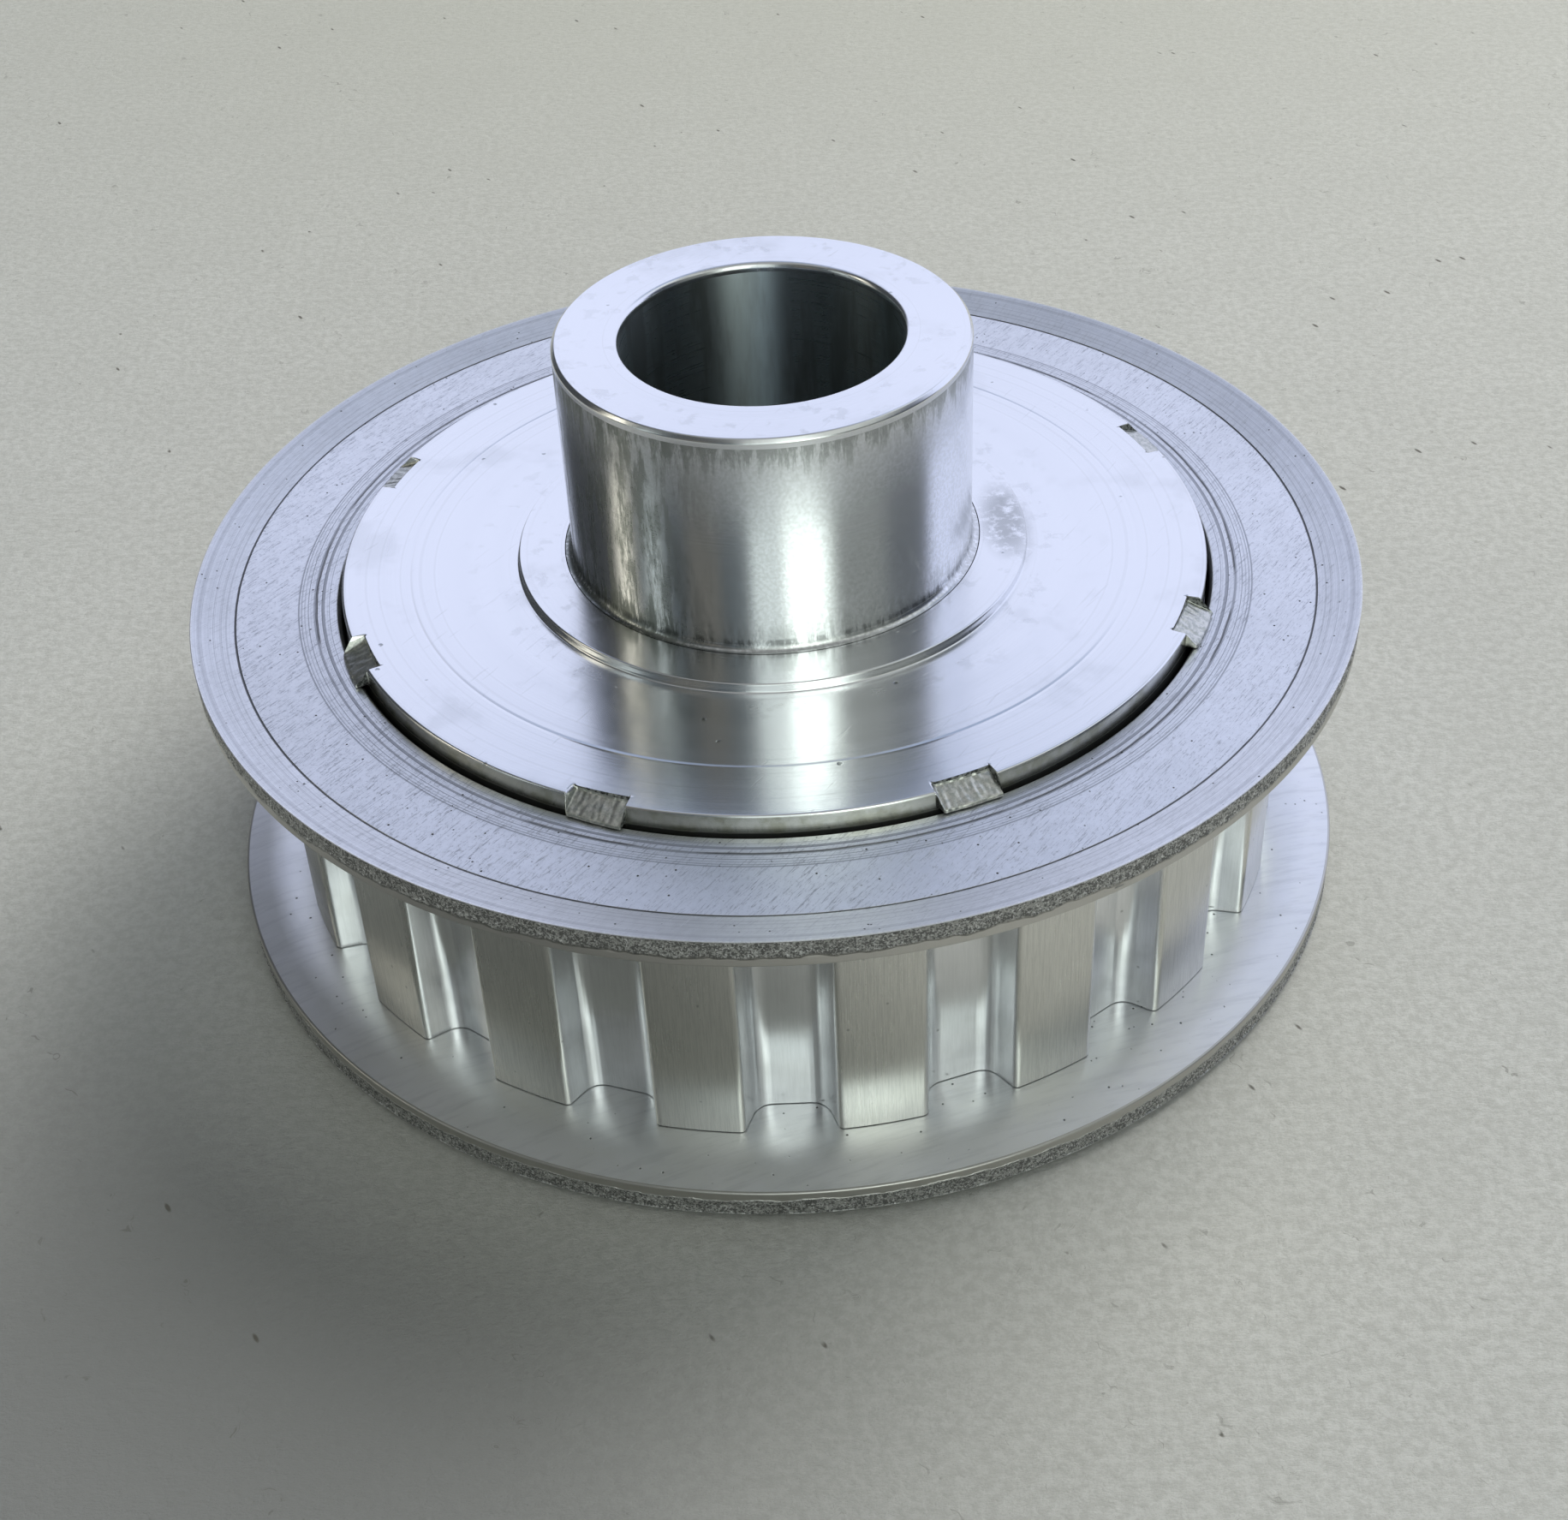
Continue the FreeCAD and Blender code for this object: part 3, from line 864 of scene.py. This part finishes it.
def card_finish():
    """Uncoated card: pressed grain, short fibres, dark flecks, and a painted shadow at the front left."""
    f = Finish("card")
    mottle = f.grain(f.place, 0.12, 3.0, 0.5)
    fibre = f.grain(f.place, 1.5, 6.0, 0.78)
    pressed = f.grain(f.point(f.x * 1.1, f.y * 2.2, 0.0), 1.3, 5.0, 0.7)
    bend = f.grain(f.place, 0.5, 2.0, 0.5) * 6
    hair = 1 - abs(f.lines(f.x * 0.9 + f.y * 0.5 + bend, 1.0, 1.0, 0.5) - 0.5).rises(0.0, 0.005)
    hair = hair * f.grain(f.place, 0.8).rises(0.58, 0.64)
    stretched = f.point(f.x + f.y * 0.5, f.y * 0.45, 0.0)
    fleck = f.specks(stretched, 0.42, 0.075) * f.grain(f.place, 0.33).rises(0.50, 0.55)
    # Painted shadow: the card darkens round a spot in front of the pulley on the left, less so close beside
    # the pulley.
    shadow_x = (f.x - SHADED_AT[0]) / SHADED_REACH
    shadow_y = (f.y - SHADED_AT[1]) / SHADED_REACH
    patch = 1 - ((shadow_x * shadow_x + shadow_y * shadow_y) ** 0.5 + mottle * 0.2).rises(0.3, 1.45)
    patch = patch * (0.2 + f.radius.rises(26, 46) * 0.8)
    far = f.y.rises(40, 150) * (1 - abs(f.x).rises(20, 110) * 0.6)
    colour = f.mix(fibre.rises(0.38, 0.62) * 0.85, CARD_PALE, CARD_SHADE)
    colour = f.mix(mottle.rises(0.3, 0.7) * 0.2, colour, CARD_SHADE)
    colour = f.mix(patch * 0.95, colour, CARD_PAINTED_SHADOW)
    colour = f.mix(far * 0.6, colour, CARD_FAR)
    colour = f.mix((fleck * 0.9 + hair * 0.4).at_most(1), colour, CARD_FLECK)
    return f.metal(colour, 0.85, fibre * 0.09 + pressed * 0.09, metallic=0.0)


def card():
    """The sheet that the pulley stands on, a hair below its rear face."""
    mesh = bpy.data.meshes.new("card")
    corners = [(x * CARD_HALF, y * CARD_HALF, -CARD_DROP) for x, y in ((-1, -1), (1, -1), (1, 1), (-1, 1))]
    mesh.from_pydata(corners, [], [(0, 1, 2, 3)])
    mesh.materials.append(card_finish())
    sheet = bpy.data.objects.new("card", mesh)
    bpy.context.scene.collection.objects.link(sheet)


def toward(way, height, distance):
    """A point that far off, in degrees round from the front to the right and up from the floor."""
    way, height = math.radians(way), math.radians(height)
    level = math.cos(height)
    return Vector((math.sin(way) * level, -math.cos(way) * level, math.sin(height))) * distance


def facing(place, target):
    """A stand at that place, turned to face the target."""
    return Matrix.Translation(place) @ (target - place).to_track_quat("-Z", "Y").to_matrix().to_4x4()


KEY_SIZE = 0.36
KEY_RADIANCE = 5.5
KEY_COLOUR = (1.0, 0.99, 0.93)
KEY_WAY = 134
KEY_HEIGHT = 50
KEY_DISTANCE = 0.6


def key_lamp():
    """The main light on the card: a soft square lamp behind the pulley, high on the right.

    The bright metal mirrors the room and not the lamp, so that no hard glare lies over its finish.
    """
    lamp = bpy.data.lights.new("key", "AREA")
    lamp.shape = "SQUARE"
    lamp.size = KEY_SIZE
    lamp.energy = KEY_RADIANCE * KEY_SIZE ** 2 * math.pi
    lamp.color = KEY_COLOUR
    stand = bpy.data.objects.new("key", lamp)
    place = toward(KEY_WAY, KEY_HEIGHT, KEY_DISTANCE)
    stand.matrix_world = facing(place, Vector((0, 0, SEAT_MIDDLE)))
    stand.visible_glossy = False
    bpy.context.scene.collection.objects.link(stand)


ROOM_LEFT = (0.05, 0.055, 0.06, 1)
ROOM_BACK = (0.84, 0.90, 1.13, 1)
ROOM_BACK_HIGH = (0.34, 0.42, 0.60, 1)
ROOM_RIGHT = (0.84, 0.91, 1.18, 1)
ROOM_SHADE = (0.055, 0.065, 0.085, 1)
ROOM_OLIVE = (0.18, 0.195, 0.185, 1)
ROOM_STRIP = (2.6, 2.85, 2.65, 1)
ROOM_PALE = (0.90, 1.0, 0.97, 1)
ROOM_BLUE = (0.10, 0.125, 0.14, 1)
ROOM_BROWN = (0.20, 0.19, 0.16, 1)
ROOM_CREAM = (2.2, 2.1, 1.75, 1)
ROOM_TOP = (0.34, 0.35, 0.35, 1)
ROOM_FRONT_HIGH = (0.78, 0.82, 0.78, 1)
ROOM_SEEN = (0.46, 0.46, 0.44, 1)

# What stands round the room at eye height: from this many degrees round, this colour, this soft an edge.
ROOM_WALLS = [
    (-153, ROOM_LEFT, 14), (-98, ROOM_CREAM, 3), (-87, ROOM_BLUE, 3), (-77, ROOM_PALE, 3),
    (-65, ROOM_BLUE, 3), (-50, ROOM_BROWN, 5), (-30, ROOM_BLUE, 5), (-13, ROOM_PALE, 3),
    (6, ROOM_STRIP, 4), (31, ROOM_OLIVE, 14), (66, ROOM_SHADE, 14), (99, ROOM_RIGHT, 10),
    (125, ROOM_BACK, 30),
]


def room():
    """The surroundings that the metal mirrors: dim on the left, pale behind, a bright strip on the right.

    They are set by direction alone, in degrees. To the eye itself they are one plain tone.
    """
    world = bpy.data.worlds.new("room")
    bpy.context.scene.world = world
    tree = ShaderTree(world)
    direction = tree.node("TexCoord", None, None, "Generated")
    x, y, z = tree.parts(direction)
    way = x.maths("ARCTAN2", x, 0 - y) * (180 / math.pi)
    height = z.maths("ARCSINE", z) * (180 / math.pi)
    colour = ROOM_BACK
    for start, wall, soft in ROOM_WALLS:
        colour = tree.mix(way.rises(start - soft / 2, start + soft / 2), colour, wall)
    behind = way.rises(120, 150) + 1 - way.rises(-166, -150)
    colour = tree.mix(behind * height.rises(38.5, 45), colour, ROOM_BACK_HIGH)
    low_strip = way.between(4, 36, 6) * (1 - height.rises(27, 35))
    colour = tree.mix(low_strip * 0.45, colour, ROOM_OLIVE)
    ahead = way.between(-15, 120, 25)
    colour = tree.mix(ahead * height.rises(40, 45) * 0.75, colour, ROOM_FRONT_HIGH)
    left = way.between(-130, -30, 25)
    colour = tree.mix(left * height.rises(39, 44) * 0.9, colour, ROOM_LEFT)
    colour = tree.mix(left * (1 - height.rises(24, 30)) * 0.7, colour, ROOM_LEFT)
    colour = tree.mix(height.rises(56, 70), colour, ROOM_TOP)
    seen = tree.node("LightPath", None, None, "Is Camera Ray")
    colour = tree.mix(seen, colour, ROOM_SEEN)
    surface = tree.node("Background", None, {"Color": colour, "Strength": 1.0})
    tree.node("OutputWorld", None, {"Surface": surface})


EYE = (0.0, -110.14 * MM, 92.14 * MM)
LOOK_DOWN = 0.67571
EYE_ROLL = -0.05265
LENS = 54.47


def camera():
    """The eye: in front of the pulley, looking down past the hub's end."""
    lens = bpy.data.cameras.new("eye")
    lens.lens = LENS
    lens.sensor_width = 36.0
    lens.clip_start = 0.005
    lens.clip_end = 20.0
    eye = bpy.data.objects.new("eye", lens)
    ahead = Vector((0, math.cos(LOOK_DOWN), -math.sin(LOOK_DOWN)))
    level = Vector((1, 0, 0))
    above = level.cross(ahead)
    right = level * math.cos(EYE_ROLL) + above * math.sin(EYE_ROLL)
    up = above * math.cos(EYE_ROLL) - level * math.sin(EYE_ROLL)
    turned = Matrix((right, up, -ahead)).transposed().to_4x4()
    eye.matrix_world = Matrix.Translation(Vector(EYE)) @ turned
    bpy.context.scene.collection.objects.link(eye)
    bpy.context.scene.camera = eye


def studio():
    """Card, lamp, surroundings and camera."""
    card()
    key_lamp()
    room()
    camera()
    bpy.context.scene.view_settings.view_transform = "Standard"


# ---- the pulley in its studio ----------------------------------------------------------------

studio()
body_finishes = {
    "face": turned_face(),
    "journal": journal(),
    "bore": bore_wall(),
    "teeth": tooth_flanks(),
    "spigot": spigot_wall(),
    "struck": struck_metal(),
    "grime_and_shade": grime_and_shade(),
}
sheet_finishes = {"sheet": flange_sheet(), "belt_side": belt_side_sheet(), "rim": sheared_rim()}
pulley_body(body_finishes)
flange("hub_side_flange", sheet_finishes, 1.0, False)
flange("rear_flange", sheet_finishes, 9.0, True)
